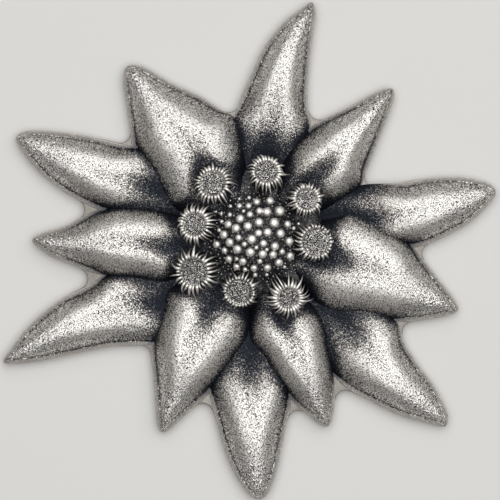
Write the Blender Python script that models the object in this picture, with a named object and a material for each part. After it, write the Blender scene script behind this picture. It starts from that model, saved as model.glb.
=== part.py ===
# An edelweiss cast in one piece of white metal. A thin star-shaped plate carries twelve puffy petals
# in two layers, a ring of eight floret heads, and a dome of ball-headed beads at the heart.
#
# Sizes are in millimetres and become metres where a mesh is made. The origin is on the flat back,
# under the heart of the flower. +Z points to the viewer and +Y along the long top petal.

import math

import bmesh
import bpy
from mathutils import Vector
from mathutils.geometry import intersect_point_line

MM = 0.001

# Heights above the flat back
PLATE = 1.0
FOOT = 0.4
LOWER_CREST = 2.9
UPPER_CREST = 3.7
FLORET_TOP = 5.0
BEAD_TOP = 5.7

# Plan sizes shared by all petals. Out where a petal stands clear of its neighbours, its cushion
# starts a flange's width inside the plate. Further in, neighbours run over and under each other.
# A root runs in under the floret heads to a share of the distance at which its edges begin.
FLANGE = 0.4
UPPER_OVERLAP = 0.15
LOWER_OVERLAP = 0.6
ROOT_SHARE = 0.6
WEB = 0.75
PETAL_ROWS = 10

# Each petal has a crest, the distance from the heart at which it comes clear of its neighbours,
# a left and a right edge from the root outwards, as seen from the heart, and a tip. The edges are
# the outline of the plate under the petal, flange included.
PETALS = (
    ("top", LOWER_CREST, 12.3,
     [(-1.6, 8.3), (-1.8, 11.3), (-1.5, 13.5), (-0.4, 16.1), (1.1, 19.2), (3.1, 21.7), (4.8, 23.0)],
     [(4.3, 8.0), (5.7, 10.8), (5.4, 13.3), (5.4, 15.3), (5.6, 17.8), (5.9, 20.3), (6.2, 22.6)],
     (5.8, 23.6)),
    ("upper_left", UPPER_CREST, 13.4,
     [(-8.2, 3.1), (-9.1, 4.4), (-10.6, 6.8), (-12.1, 9.0), (-12.4, 10.8), (-12.8, 13.5),
      (-13.1, 15.8)],
     [(-0.9, 7.8), (-1.3, 10.0), (-2.1, 12.0), (-3.4, 12.9), (-5.4, 14.2), (-8.4, 15.6),
      (-11.2, 17.2)],
     (-12.7, 17.2)),
    ("left_upper", LOWER_CREST, 15.0,
     [(-8.2, 2.4), (-12.4, 2.6), (-15.7, 2.9), (-17.4, 3.7), (-19.4, 4.9), (-21.4, 6.5),
      (-23.3, 8.8)],
     [(-7.6, 6.3), (-10.4, 8.3), (-13.2, 9.4), (-16.4, 10.15), (-19.4, 10.6), (-22.6, 10.75)],
     (-23.8, 10.1)),
    ("left", UPPER_CREST, 16.0,
     [(-8.9, -4.4), (-11.4, -4.1), (-14.4, -3.75), (-16.4, -3.4), (-18.4, -2.65), (-20.4, -1.8),
      (-21.8, -0.8)],
     [(-8.2, 2.4), (-10.4, 3.0), (-13.4, 3.1), (-15.7, 2.85), (-17.4, 2.0), (-18.9, 1.2),
      (-21.5, 0.4)],
     (-22.2, -0.2)),
    ("lower_left", LOWER_CREST, 15.0,
     [(-8.2, -10.0), (-10.9, -10.7), (-14.4, -10.9), (-18.4, -11.7), (-21.6, -12.35),
      (-24.2, -12.6)],
     [(-8.9, -3.0), (-13.4, -3.4), (-16.4, -4.6), (-19.4, -6.2), (-22.4, -8.7), (-24.4, -11.2)],
     (-25.1, -12.4)),
    ("bottom_left", UPPER_CREST, 15.3,
     [(-0.6, -9.8), (-1.6, -11.5), (-3.4, -14.0), (-4.3, -15.4), (-5.6, -16.6), (-7.4, -18.2),
      (-8.6, -19.3)],
     [(-8.7, -5.2), (-9.1, -6.7), (-9.7, -9.2), (-10.3, -11.5), (-10.1, -13.7), (-9.9, -16.2),
      (-9.7, -18.6)],
     (-9.3, -19.4)),
    ("bottom", LOWER_CREST, 16.5,
     [(1.4, -10.7), (3.1, -13.7), (3.7, -16.7), (3.3, -18.5), (2.8, -20.9), (2.3, -23.2),
      (1.5, -25.4)],
     [(-2.2, -11.2), (-4.0, -14.2), (-4.3, -16.4), (-3.6, -19.0), (-2.8, -21.7), (-1.6, -24.2),
      (-0.4, -25.8)],
     (0.6, -26.15)),
    ("bottom_right", UPPER_CREST, 16.8,
     [(6.8, -8.0), (7.5, -11.2), (8.0, -14.0), (8.1, -16.2), (7.8, -18.2)],
     [(-0.4, -10.0), (0.8, -11.7), (2.1, -13.7), (3.9, -16.4), (5.6, -17.9), (6.8, -18.8)],
     (7.4, -18.85)),
    ("lower_right", LOWER_CREST, 16.8,
     [(8.1, -4.2), (11.6, -5.7), (14.4, -8.4), (15.1, -10.5), (16.6, -12.9), (18.1, -14.9),
      (19.4, -17.6)],
     [(6.1, -8.7), (7.6, -12.2), (9.1, -14.9), (11.6, -16.3), (14.6, -17.75), (18.2, -18.75)],
     (19.2, -18.8)),
    ("right", UPPER_CREST, 16.3,
     [(8.4, 2.2), (9.8, 2.7), (12.6, 1.6), (15.1, -0.2), (16.7, -1.8), (18.3, -3.9),
      (20.1, -6.2)],
     [(6.2, -6.5), (8.1, -7.5), (10.6, -7.75), (13.1, -8.05), (15.0, -8.4), (17.1, -8.2),
      (19.9, -7.6)],
     (20.45, -7.1)),
    ("right_upper", LOWER_CREST, 14.0,
     [(8.1, 4.2), (10.1, 4.6), (12.1, 5.2), (14.6, 5.65), (17.6, 6.0), (20.6, 6.1),
      (23.4, 5.5)],
     [(8.6, 0.6), (12.6, -0.8), (15.8, -1.0), (17.6, -0.55), (19.6, 0.4), (21.6, 1.55),
      (23.7, 3.6)],
     (24.2, 4.7)),
    ("upper_right", UPPER_CREST, 12.4,
     [(2.9, 7.6), (4.3, 9.5), (5.7, 11.1), (6.9, 11.9), (9.6, 13.2), (11.6, 14.3),
      (13.2, 15.0)],
     [(7.7, 3.2), (9.1, 4.1), (10.6, 5.1), (11.3, 6.8), (12.6, 10.1), (13.6, 12.7),
      (14.05, 14.2)],
     (13.9, 14.9)),
)

# Each floret head has the middle of its disc, the reach of its bracts and the radius of its disc.
FLORETS = (
    (-4.1, 5.6, 2.2, 1.2),
    (1.1, 6.5, 2.15, 1.1),
    (5.25, 3.85, 1.95, 1.0),
    (6.15, -0.5, 2.1, 1.3),
    (3.4, -5.9, 2.35, 1.1),
    (-1.45, -5.2, 1.9, 1.2),
    (-6.0, -3.35, 2.5, 1.3),
    (-5.9, 1.4, 2.2, 1.1),
)
FLORET_LEAN = 0.12
FLORET_SIDES = 16
BRACTS = 16

# Each bead has a place and a radius. Beads under 0.2 mm are too small to stand in the solid.
BEADS = (
    (1.6, 3.7, 0.39), (0.3, 3.6, 0.34), (-1.5, 3.2, 0.27), (-0.55, 3.2, 0.29), (0.5, 2.7, 0.34),
    (1.3, 2.6, 0.42), (2.5, 2.7, 0.48), (-2.4, 2.3, 0.22), (-0.4, 2.3, 0.30), (-1.4, 1.9, 0.39),
    (-2.6, 1.4, 0.36), (0.5, 1.5, 0.40), (2.0, 1.5, 0.46), (3.3, 1.4, 0.34), (-1.8, 0.95, 0.40),
    (-0.6, 1.1, 0.40), (0.4, 0.5, 0.34), (1.3, 0.55, 0.39), (2.6, 0.4, 0.41), (-3.0, 0.3, 0.39),
    (-1.5, 0.0, 0.29), (-0.25, -0.15, 0.44), (-2.4, -0.45, 0.39), (-0.95, -0.6, 0.24),
    (0.9, -0.55, 0.34), (3.5, -0.35, 0.41), (-3.7, -0.65, 0.36), (2.05, -0.8, 0.40),
    (-1.65, -1.1, 0.41), (-2.9, -1.25, 0.29), (-0.35, -1.4, 0.44), (2.8, -1.4, 0.27),
    (0.85, -1.6, 0.40), (1.85, -1.65, 0.36), (3.55, -1.8, 0.40), (-2.5, -2.1, 0.34),
    (-1.1, -2.3, 0.36), (0.55, -2.3, 0.24), (2.45, -2.45, 0.39), (-1.75, -2.85, 0.32),
    (-0.9, -3.15, 0.22), (0.0, -3.0, 0.34), (1.3, -2.95, 0.36), (0.1, -3.65, 0.22),
)
BEAD_LEAN = 0.09
BEAD_SIDES = 6
MOUND_RADIUS = 4.5
MOUND_TOP = 4.7


def smooth(x):
    x = min(max(x, 0.0), 1.0)
    return x * x * (3 - 2 * x)


def curve_through(points, per_span):
    """Points on one smooth curve that passes through all the given ones."""
    points = [Vector(p) for p in points]
    spans = [(b - a).length for a, b in zip(points, points[1:])]
    slopes = [(points[1] - points[0]) / spans[0]]
    for i in range(1, len(points) - 1):
        slopes.append((points[i + 1] - points[i - 1]) / (spans[i - 1] + spans[i]))
    slopes.append((points[-1] - points[-2]) / spans[-1])
    out = []
    for i, span in enumerate(spans):
        for k in range(per_span):
            s = k / per_span
            out.append(points[i] * (1 - s) ** 2 * (1 + 2 * s) + slopes[i] * span * s * (1 - s) ** 2
                       + points[i + 1] * s * s * (3 - 2 * s) - slopes[i + 1] * span * s * s * (1 - s))
    return out + [points[-1]]


def evenly(path, count):
    """count + 1 points at equal steps along a path."""
    lengths = [0.0]
    for a, b in zip(path, path[1:]):
        lengths.append(lengths[-1] + (b - a).length)
    out = []
    i = 0
    for k in range(count + 1):
        want = lengths[-1] * k / count
        while i < len(path) - 2 and lengths[i + 1] < want:
            i += 1
        out.append(path[i].lerp(path[i + 1], (want - lengths[i]) / (lengths[i + 1] - lengths[i])))
    return out


def petal_rim(left, right, tip):
    """The points of a petal's outline, clockwise from the left of its root to the right."""
    roots = [(edge[0][0] * ROOT_SHARE, edge[0][1] * ROOT_SHARE) for edge in (left, right)]
    return [Vector(p) for p in (roots[0], *left, tip, *right[::-1], roots[1])]


def inset(rim, clear, overlap):
    """A rim moved inwards by the flange where it is clear, and outwards by the overlap before."""
    out = []
    for i, p in enumerate(rim):
        along = (rim[min(i + 1, len(rim) - 1)] - rim[max(i - 1, 0)]).normalized()
        distance = (FLANGE + overlap) * smooth((p.length - clear + 1.5) / 2) - overlap
        out.append(p + Vector((along.y, -along.x)) * distance)
    return out


def cushion_sides(crest, clear, left, right, tip):
    """The left and right side of a cushion from root to tip, with a point for each row."""
    overlap = UPPER_OVERLAP if crest == UPPER_CREST else LOWER_OVERLAP
    path = curve_through(inset(petal_rim(left, right, tip), clear, overlap), 8)
    middle = 8 * (len(left) + 1)
    return evenly(path[:middle + 1], PETAL_ROWS), evenly(path[middle:][::-1], PETAL_ROWS)


def new_object(name, bm, collection):
    bmesh.ops.recalc_face_normals(bm, faces=bm.faces)
    mesh = bpy.data.meshes.new(name)
    bm.to_mesh(mesh)
    bm.free()
    ob = bpy.data.objects.new(name, mesh)
    collection.objects.link(ob)
    return ob


def skin(name, rings, collection):
    """A closed solid through rings of points in millimetres, with a flat face over each end."""
    bm = bmesh.new()
    made = [[bm.verts.new(Vector(p) * MM) for p in ring] for ring in rings]
    count = len(rings[0])
    for low, high in zip(made, made[1:]):
        for i in range(count):
            j = (i + 1) % count
            bm.faces.new((low[i], low[j], high[j], high[i]))
    bm.faces.new(made[0][::-1])
    bm.faces.new(made[-1])
    return new_object(name, bm, collection)


def turned_rings(profile, sides, foot, lean):
    """Rings of a turned shape whose axis leaves the foot along lean. A profile is radius, height."""
    axis = Vector(lean).normalized()
    side = axis.cross(Vector((0, 1, 0))).normalized()
    other = axis.cross(side)
    rings = []
    for radius, height in profile:
        middle = Vector(foot) + axis * height
        turns = [math.tau * k / sides for k in range(sides)]
        rings.append([middle + (side * math.cos(a) + other * math.sin(a)) * radius for a in turns])
    return rings


def is_inside(p, polygon):
    inside = False
    for a, b in zip(polygon, polygon[1:] + polygon[:1]):
        if (a.y > p.y) != (b.y > p.y) and p.x < a.x + (b.x - a.x) * (p.y - a.y) / (b.y - a.y):
            inside = not inside
    return inside


def distance_to(p, polygon):
    nearest = 1e9
    for a, b in zip(polygon, polygon[1:] + polygon[:1]):
        on_line, share = intersect_point_line(p, a, b)
        foot = a if share < 0 else b if share > 1 else on_line
        nearest = min(nearest, (Vector(foot[:2]) - p).length)
    return nearest


def plate_outline():
    """The petals' outlines where they are clear of each other, one after another round the heart.
    What is left out near each notch leaves a small straight web of plate across it."""
    outlines = [curve_through(petal_rim(*petal[3:]), 2)[::-1] for petal in PETALS]
    seen = []
    for i, outline in enumerate(outlines):
        near = [o for k, o in enumerate(outlines) if k != i]
        for p in outline:
            if not any(is_inside(p, o) or distance_to(p, o) < WEB for o in near):
                seen.append(p)
    return seen


def make_plate(collection):
    outline = plate_outline()
    rings = [[(p.x, p.y, height) for p in outline] for height in (0, PLATE)]
    return skin("casting", rings, collection)


def petal_height(crest, t, v):
    """The height at share t from root to tip and v from -1 to 1 across."""
    root, peak = (0.6, 0.46) if crest == UPPER_CREST else (0.1, 0.62)
    tip, nose = 0.42, 0.9
    if t < peak:
        along = root + (1 - root) * smooth(t / peak)
    else:
        along = 1 - (1 - tip) * smooth((t - peak) / (1 - peak))
    if t > nose:
        along *= math.sqrt(max(0.0, 1 - ((t - nose) / (1 - nose)) ** 2))
    across = (1 - abs(v) ** 2.4) ** 0.6
    groove = 1 - 0.2 * math.exp(-(v / 0.24) ** 2) * (1 - smooth(t / 0.85))
    low = PLATE - 0.1
    return low + (crest - low) * along * across * groove


def make_petal(name, crest, clear, left, right, tip, collection):
    sides = cushion_sides(crest, clear, left, right, tip)
    across = (-1, -0.9, -0.64, -0.3, 0, 0.3, 0.64, 0.9, 1)
    rings = []
    for row, (a, b) in enumerate(zip(*sides)):
        t = min(row / PETAL_ROWS, 0.985)
        if row == PETAL_ROWS:
            a, b = a.lerp(sides[0][row - 1], 0.15), b.lerp(sides[1][row - 1], 0.15)
        ring = [(*a, FOOT)]
        for v in across:
            ring.append((*a.lerp(b, (v + 1) / 2), petal_height(crest, t, v)))
        ring.append((*b, FOOT))
        rings.append(ring)
    return skin(name, rings, collection)


def make_floret(name, x, y, reach, disc, collection):
    """A short barrel with a dished disc, leaning out from the heart, and a fringe of bracts."""
    out = Vector((x, y, 0)).normalized()
    lean = Vector((0, 0, 1)) + out * FLORET_LEAN
    base = 1.4
    tall = FLORET_TOP - base
    foot = Vector((x, y, base)) - out * FLORET_LEAN * tall
    profile = [
        (reach * 0.62, 0), (reach * 0.76, tall * 0.5),
        (disc + 0.3, tall * 0.92), (disc + 0.18, tall), (disc, tall), (disc * 0.86, tall - 0.35),
    ]
    skin(name, turned_rings(profile, FLORET_SIDES, foot, lean), collection)
    axis = lean.normalized()
    side = axis.cross(Vector((0, 1, 0))).normalized()
    other = axis.cross(side)
    for k in range(BRACTS):
        turn = math.tau * (k + 0.5) / BRACTS
        away = side * math.cos(turn) + other * math.sin(turn)
        wide = axis.cross(away)
        root = foot + away * (disc + 0.06)
        tip = foot + away * reach + axis * tall * 0.66
        rings = [
            [root + wide * 0.2 + axis * tall * 0.72, root - wide * 0.2 + axis * tall * 0.72,
             root + axis * (tall + 0.03)],
            [tip + wide * 0.04, tip - wide * 0.04, tip + axis * 0.07],
        ]
        skin(f"{name}_bract_{k}", rings, collection)


def make_bead(name, x, y, radius, collection):
    """A ball on a stalk that leans out from the heart, low at the edge of the dome."""
    spread = (x * x + y * y) / MOUND_RADIUS ** 2
    middle = BEAD_TOP - 1.3 * spread - radius
    lean = Vector((x * BEAD_LEAN, y * BEAD_LEAN, 1))
    stalk = 1.5
    foot = Vector((x, y, middle)) - lean.normalized() * stalk
    profile = [(radius * 0.45, 0), (radius * 0.45, stalk - radius * 0.9)]
    for angle in (-25, 25, 65):
        turn = math.radians(angle)
        profile.append((radius * math.cos(turn) * 1.04, stalk + radius * math.sin(turn) * 1.04))
    skin(name, turned_rings(profile, BEAD_SIDES, foot, lean), collection)


def make_heart(collection):
    """The low boss that carries the floret heads, and the mound that carries the beads."""
    boss = [(7.0, FOOT), (6.8, 1.4), (5.4, 1.9), (3.0, 2.2)]
    skin("boss", turned_rings(boss, 24, (0, 0, 0), (0, 0, 1)), collection)
    mound = [(MOUND_RADIUS, 2.0)]
    for share in (0.98, 0.85, 0.6, 0.25):
        mound.append((MOUND_RADIUS * share, 2.4 + (MOUND_TOP - 2.4) * (1 - share ** 2)))
    skin("mound", turned_rings(mound, 24, (0, 0, 0), (0, 0, 1)), collection)


def antique_silver():
    material = bpy.data.materials.new("antique_silver")
    material.use_nodes = True
    shader = material.node_tree.nodes["Principled BSDF"]
    shader.inputs["Base Color"].default_value = (0.42, 0.40, 0.38, 1)
    shader.inputs["Metallic"].default_value = 1.0
    shader.inputs["Roughness"].default_value = 0.42
    return material


def join(ob, collection):
    """Unites an object with all of a collection, and takes the collection's objects away."""
    union = ob.modifiers.new("union", "BOOLEAN")
    union.operation = "UNION"
    union.operand_type = "COLLECTION"
    union.collection = collection
    union.solver = "MANIFOLD"
    graph = bpy.context.evaluated_depsgraph_get()
    mesh = bpy.data.meshes.new_from_object(ob.evaluated_get(graph))
    mesh.name = ob.name
    ob.modifiers.clear()
    ob.data = mesh
    for loose in list(collection.objects):
        bpy.data.objects.remove(loose)
    bpy.data.collections.remove(collection)


def build():
    for ob in list(bpy.data.objects):
        bpy.data.objects.remove(ob)
    scene = bpy.context.scene.collection
    relief = bpy.data.collections.new("relief")
    scene.children.link(relief)
    casting = make_plate(scene)
    for petal in PETALS:
        make_petal(*petal, relief)
    make_heart(relief)
    for i, floret in enumerate(FLORETS):
        make_floret(f"floret_{i}", *floret, relief)
    for i, bead in enumerate(BEADS):
        make_bead(f"bead_{i}", *bead, relief)
    join(casting, relief)
    casting.data.materials.clear()
    casting.data.materials.append(antique_silver())
    casting.data.shade_smooth()
    casting.data.set_sharp_from_angle(angle=math.radians(35))


build()
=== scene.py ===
import math
import bpy
import numpy as np
from mathutils import Matrix, Vector


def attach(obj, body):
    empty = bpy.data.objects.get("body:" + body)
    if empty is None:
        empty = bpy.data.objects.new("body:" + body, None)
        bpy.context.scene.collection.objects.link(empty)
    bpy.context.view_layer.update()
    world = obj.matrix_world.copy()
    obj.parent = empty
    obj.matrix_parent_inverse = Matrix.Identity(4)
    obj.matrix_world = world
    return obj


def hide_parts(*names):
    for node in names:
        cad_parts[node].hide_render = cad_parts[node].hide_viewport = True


# A cast metal edelweiss ornament with an antique silver finish, lying on its back on a pale floor.
# Plan sizes and heights are in millimetres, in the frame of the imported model, and become metres
# where a mesh is made. The wool's sizes, the specks' spacing, the floor and the light are in metres.
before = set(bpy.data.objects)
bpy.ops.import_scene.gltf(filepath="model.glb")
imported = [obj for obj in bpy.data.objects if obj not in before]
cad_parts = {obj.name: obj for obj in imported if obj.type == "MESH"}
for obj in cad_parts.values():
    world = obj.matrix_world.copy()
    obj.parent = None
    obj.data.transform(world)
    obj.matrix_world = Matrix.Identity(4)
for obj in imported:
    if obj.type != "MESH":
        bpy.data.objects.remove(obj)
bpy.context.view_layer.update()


# The plate
# One flat star of metal about a millimetre thick, cast with everything that stands on it. Its rim
# shows as a narrow flange round each petal and as small flat webs across the notches between them.
MM = 0.001
PLATE_TOP = 0.88
PLATE_RUB = 0.5
PLATE_HOLD = 0.08
WEB = 1.0
WEB_STEPS = 12
SPAN_POINTS = 40

# The plate follows a petal's outline only where it is farther than this from the flower's middle
HEART_COVERS = 9

# How far the plate's edge lies inside its outline, and how high, from its back to its top
PLATE_EDGE = ((0.12, 0.0), (0.03, 0.04), (0.0, 0.14), (0.0, PLATE_TOP - 0.1),
              (0.03, PLATE_TOP - 0.03), (0.1, PLATE_TOP))

# The heights of the two layers of petals
LOWER = 2.9
UPPER = 3.7

# Each petal has a crest, the distance from the heart at which it comes clear of its neighbours,
# a left and a right edge from the root outwards, as seen from the heart, and a tip.
PETALS = {
    "top": (
        LOWER, 12.3,
        [(-1.6, 8.3), (-1.8, 11.3), (-1.5, 13.5), (-0.4, 16.1), (1.1, 19.2), (3.1, 21.7), (4.8, 23.0)],
        [(4.3, 8.0), (5.7, 10.8), (5.4, 13.3), (5.4, 15.3), (5.6, 17.8), (5.9, 20.3), (6.2, 22.6)],
        (5.8, 23.6)),
    "upper_left": (
        UPPER, 13.4,
        [(-8.2, 3.1), (-9.1, 4.4), (-10.6, 6.8), (-12.1, 9.0), (-12.4, 10.8), (-12.8, 13.5),
         (-13.1, 15.8)],
        [(-0.9, 7.8), (-1.3, 10.0), (-2.1, 12.0), (-3.4, 12.9), (-5.4, 14.2), (-8.4, 15.6),
         (-11.2, 17.2)],
        (-12.7, 17.2)),
    "left_upper": (
        LOWER, 15.0,
        [(-8.2, 2.4), (-12.4, 2.6), (-15.7, 2.9), (-17.4, 3.7), (-19.4, 4.9), (-21.4, 6.5),
         (-23.3, 8.8)],
        [(-7.6, 6.3), (-10.4, 8.3), (-13.2, 9.4), (-16.4, 10.15), (-19.4, 10.6), (-22.6, 10.75)],
        (-23.8, 10.1)),
    "left": (
        UPPER, 16.0,
        [(-8.9, -4.4), (-11.4, -4.1), (-14.4, -3.75), (-16.4, -3.4), (-18.4, -2.65), (-20.4, -1.8),
         (-21.8, -0.8)],
        [(-8.2, 2.4), (-10.4, 3.0), (-13.4, 3.1), (-15.7, 2.85), (-17.4, 2.0), (-18.9, 1.2),
         (-21.5, 0.4)],
        (-22.2, -0.2)),
    "lower_left": (
        LOWER, 15.0,
        [(-8.2, -10.0), (-10.9, -10.7), (-14.4, -10.9), (-18.4, -11.7), (-21.6, -12.35),
         (-24.2, -12.6)],
        [(-8.9, -3.0), (-13.4, -3.4), (-16.4, -4.6), (-19.4, -6.2), (-22.4, -8.7), (-24.4, -11.2)],
        (-25.1, -12.4)),
    "bottom_left": (
        UPPER, 15.3,
        [(-0.6, -9.8), (-1.6, -11.5), (-3.4, -14.0), (-4.3, -15.4), (-5.6, -16.6), (-7.4, -18.2),
         (-8.6, -19.3)],
        [(-8.7, -5.2), (-9.1, -6.7), (-9.7, -9.2), (-10.3, -11.5), (-10.1, -13.7), (-9.9, -16.2),
         (-9.7, -18.6)],
        (-9.3, -19.4)),
    "bottom": (
        LOWER, 16.5,
        [(1.4, -10.7), (3.1, -13.7), (3.7, -16.7), (3.3, -18.5), (2.8, -20.9), (2.3, -23.2),
         (1.5, -25.4)],
        [(-2.2, -11.2), (-4.0, -14.2), (-4.3, -16.4), (-3.6, -19.0), (-2.8, -21.7), (-1.6, -24.2),
         (-0.4, -25.8)],
        (0.6, -26.15)),
    "bottom_right": (
        UPPER, 16.8,
        [(6.8, -8.0), (7.5, -11.2), (8.0, -14.0), (8.1, -16.2), (7.8, -18.2)],
        [(-0.4, -10.0), (0.8, -11.7), (2.1, -13.7), (3.9, -16.4), (5.6, -17.9), (6.8, -18.8)],
        (7.4, -18.85)),
    "lower_right": (
        LOWER, 16.8,
        [(8.1, -4.2), (11.6, -5.7), (14.4, -8.4), (15.1, -10.5), (16.6, -12.9), (18.1, -14.9),
         (19.4, -17.6)],
        [(6.1, -8.7), (7.6, -12.2), (9.1, -14.9), (11.6, -16.3), (14.6, -17.75), (18.2, -18.75)],
        (19.2, -18.8)),
    "right": (
        UPPER, 16.3,
        [(8.4, 2.2), (9.8, 2.7), (12.6, 1.6), (15.1, -0.2), (16.7, -1.8), (18.3, -3.9),
         (20.1, -6.2)],
        [(6.2, -6.5), (8.1, -7.5), (10.6, -7.75), (13.1, -8.05), (15.0, -8.4), (17.1, -8.2),
         (19.9, -7.6)],
        (20.45, -7.1)),
    "right_upper": (
        LOWER, 14.0,
        [(8.1, 4.2), (10.1, 4.6), (12.1, 5.05), (14.6, 5.55), (17.6, 6.0), (20.6, 6.1),
         (23.4, 5.5)],
        [(8.6, 0.6), (12.6, -0.8), (15.8, -1.0), (17.6, -0.55), (19.6, 0.4), (21.6, 1.55),
         (23.7, 3.6)],
        (24.2, 4.7)),
    "upper_right": (
        UPPER, 12.4,
        [(2.9, 7.6), (4.3, 9.5), (5.7, 11.1), (6.9, 11.9), (9.6, 13.2), (11.6, 14.3),
         (13.2, 15.0)],
        [(7.7, 3.2), (9.1, 4.1), (10.6, 5.1), (11.3, 6.8), (12.6, 10.1), (13.6, 12.7),
         (14.05, 14.2)],
        (13.9, 14.9)),
}

# An outline starts at this share of the way from the flower's middle to its first edge points
ROOT_SHARE = 0.6


def smooth(x):
    x = np.clip(x, 0.0, 1.0)
    return x * x * (3 - 2 * x)


def curve_through(points, per_span):
    """Points on one smooth curve that passes through all the given ones."""
    spans = np.linalg.norm(np.diff(points, axis=0), axis=1)[:, None]
    slopes = np.empty_like(points)
    slopes[0] = (points[1] - points[0]) / spans[0]
    slopes[-1] = (points[-1] - points[-2]) / spans[-1]
    slopes[1:-1] = (points[2:] - points[:-2]) / (spans[:-1] + spans[1:])
    out = []
    for k in range(per_span):
        s = k / per_span
        out.append(points[:-1] * (1 - s) ** 2 * (1 + 2 * s) + slopes[:-1] * spans * s * (1 - s) ** 2
                   + points[1:] * s * s * (3 - 2 * s) - slopes[1:] * spans * s * s * (1 - s))
    return np.vstack([np.stack(out, axis=1).reshape(-1, 2), points[-1:]])


def evenly(path, count):
    """count + 1 points at equal steps along a path."""
    reach = np.concatenate([[0], np.cumsum(np.linalg.norm(np.diff(path, axis=0), axis=1))])
    want = np.linspace(0, reach[-1], count + 1)
    return np.stack([np.interp(want, reach, path[:, 0]), np.interp(want, reach, path[:, 1])], axis=1)


def petal_rim(left, right, tip):
    """The points of a petal's outline, clockwise from the left of its root to the right."""
    left, right = np.array(left), np.array(right)
    return np.vstack([left[:1] * ROOT_SHARE, left, [tip], right[::-1], right[:1] * ROOT_SHARE])


def is_inside(points, polygon):
    x, y = points[:, 0, None], points[:, 1, None]
    a, b = polygon, np.roll(polygon, -1, axis=0)
    rise = np.where(b[:, 1] == a[:, 1], 1e-9, b[:, 1] - a[:, 1])
    crossed = (a[:, 1] > y) != (b[:, 1] > y)
    left_of = x < a[:, 0] + (b[:, 0] - a[:, 0]) * (y - a[:, 1]) / rise
    return (crossed & left_of).sum(axis=1) % 2 == 1


def distance_to(points, path):
    return np.linalg.norm(points[:, None] - path[None], axis=2).min(axis=1)


def inset(rim, distance):
    """A rim moved inwards by a distance for each of its points."""
    ahead = np.vstack([rim[1:], rim[-1:]]) - np.vstack([rim[:1], rim[:-1]])
    ahead /= np.linalg.norm(ahead, axis=1)[:, None]
    return rim + np.stack([ahead[:, 1], -ahead[:, 0]], axis=1) * distance[:, None]


def plate_outline():
    """The petals' outlines where they are clear of each other, one after another round the heart,
    joined across each notch by an arc as round as a ball of the web's radius rolled into it."""
    outlines, balls = [], []
    for crest, clear, left, right, tip in PETALS.values():
        path = curve_through(petal_rim(left, right, tip), SPAN_POINTS)[::-1]
        path = evenly(path, int(len(path) / 2))
        outlines.append(path)
        balls.append(inset(path, np.full(len(path), WEB)))
    seen, centres = [], []
    for i, (outline, ball) in enumerate(zip(outlines, balls)):
        covered = np.linalg.norm(outline, axis=1) < HEART_COVERS
        for other in outlines[:i] + outlines[i + 1:]:
            covered |= is_inside(outline, other) | (distance_to(ball, other) < WEB)
        seen.append(outline[~covered])
        centres.append(ball[~covered])
    path = []
    for k in range(len(seen)):
        after = (k + 1) % len(seen)
        path.append(seen[k])
        centre = (centres[k][-1] + centres[after][0]) / 2
        for s in np.arange(1, WEB_STEPS) / WEB_STEPS:
            spoke = seen[k][-1] * (1 - s) + seen[after][0] * s - centre
            path.append(centre + spoke / np.linalg.norm(spoke) * WEB)
    return np.vstack(path)


def mesh_piece(name, points, faces, **values):
    """An object whose mesh has points in millimetres, with a number on each point for each value."""
    mesh = bpy.data.meshes.new(name)
    mesh.from_pydata((np.asarray(points) * MM).tolist(), [], faces)
    mesh.shade_smooth()
    for key, numbers in values.items():
        kind = "FLOAT_VECTOR" if np.ndim(numbers) == 2 else "FLOAT"
        store = mesh.attributes.new(key, kind, "POINT")
        store.data.foreach_set("vector" if kind == "FLOAT_VECTOR" else "value",
                               np.asarray(numbers, np.float32).ravel())
    ob = bpy.data.objects.new(name, mesh)
    bpy.context.scene.collection.objects.link(ob)
    return ob


def put(tree, value, socket):
    """Gives a node's input a number, or else what another node puts out."""
    if isinstance(value, (int, float)):
        socket.default_value = value
    else:
        tree.links.new(value, socket)


def maths(tree, operation, x, y, z=None):
    node = tree.nodes.new("ShaderNodeMath")
    node.operation = operation
    for value, socket in zip((x, y, z), node.inputs):
        if value is not None:
            put(tree, value, socket)
    return node.outputs[0]


# The metal's tones, from the black in its depths to the bare metal of its polished edges
TONES = (
    (0.0, (0.022, 0.026, 0.035, 1)),
    (0.2, (0.085, 0.092, 0.108, 1)),
    (0.42, (0.25, 0.234, 0.216, 1)),
    (0.68, (0.60, 0.562, 0.517, 1)),
    (0.95, (0.93, 0.905, 0.87, 1)),
)
BLACK_ROUGHNESS = 0.65
POLISHED_ROUGHNESS = 0.45
FLECKS_PER_METRE = 11000
FLECK_STRENGTH = 3.8
WOOL_STRENGTH = 0.65


def rubbed_back_and_shaded(tree):
    """How far each place is rubbed back, less any painted shade, with its wool and its flecks, as a
    share of the tones.
    """

    def stored(name):
        node = tree.nodes.new("ShaderNodeAttribute")
        node.attribute_name = name
        return node.outputs["Fac"]

    place = tree.nodes.new("ShaderNodeTexCoord")
    fleck = tree.nodes.new("ShaderNodeTexNoise")
    fleck.inputs["Scale"].default_value = FLECKS_PER_METRE
    fleck.inputs["Detail"].default_value = 1.5
    fleck.inputs["Distortion"].default_value = 0.4
    put(tree, place.outputs["Object"], fleck.inputs["Vector"])
    flecks = maths(tree, "SUBTRACT", fleck.outputs["Fac"], 0.5)
    flecks = maths(tree, "MULTIPLY", flecks, FLECK_STRENGTH)
    grain = maths(tree, "SUBTRACT", stored("grain"), 0.5)
    grain = maths(tree, "MULTIPLY_ADD", grain, WOOL_STRENGTH, flecks)
    return maths(tree, "MULTIPLY_ADD", grain, stored("hold"), stored("rub"))


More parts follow.
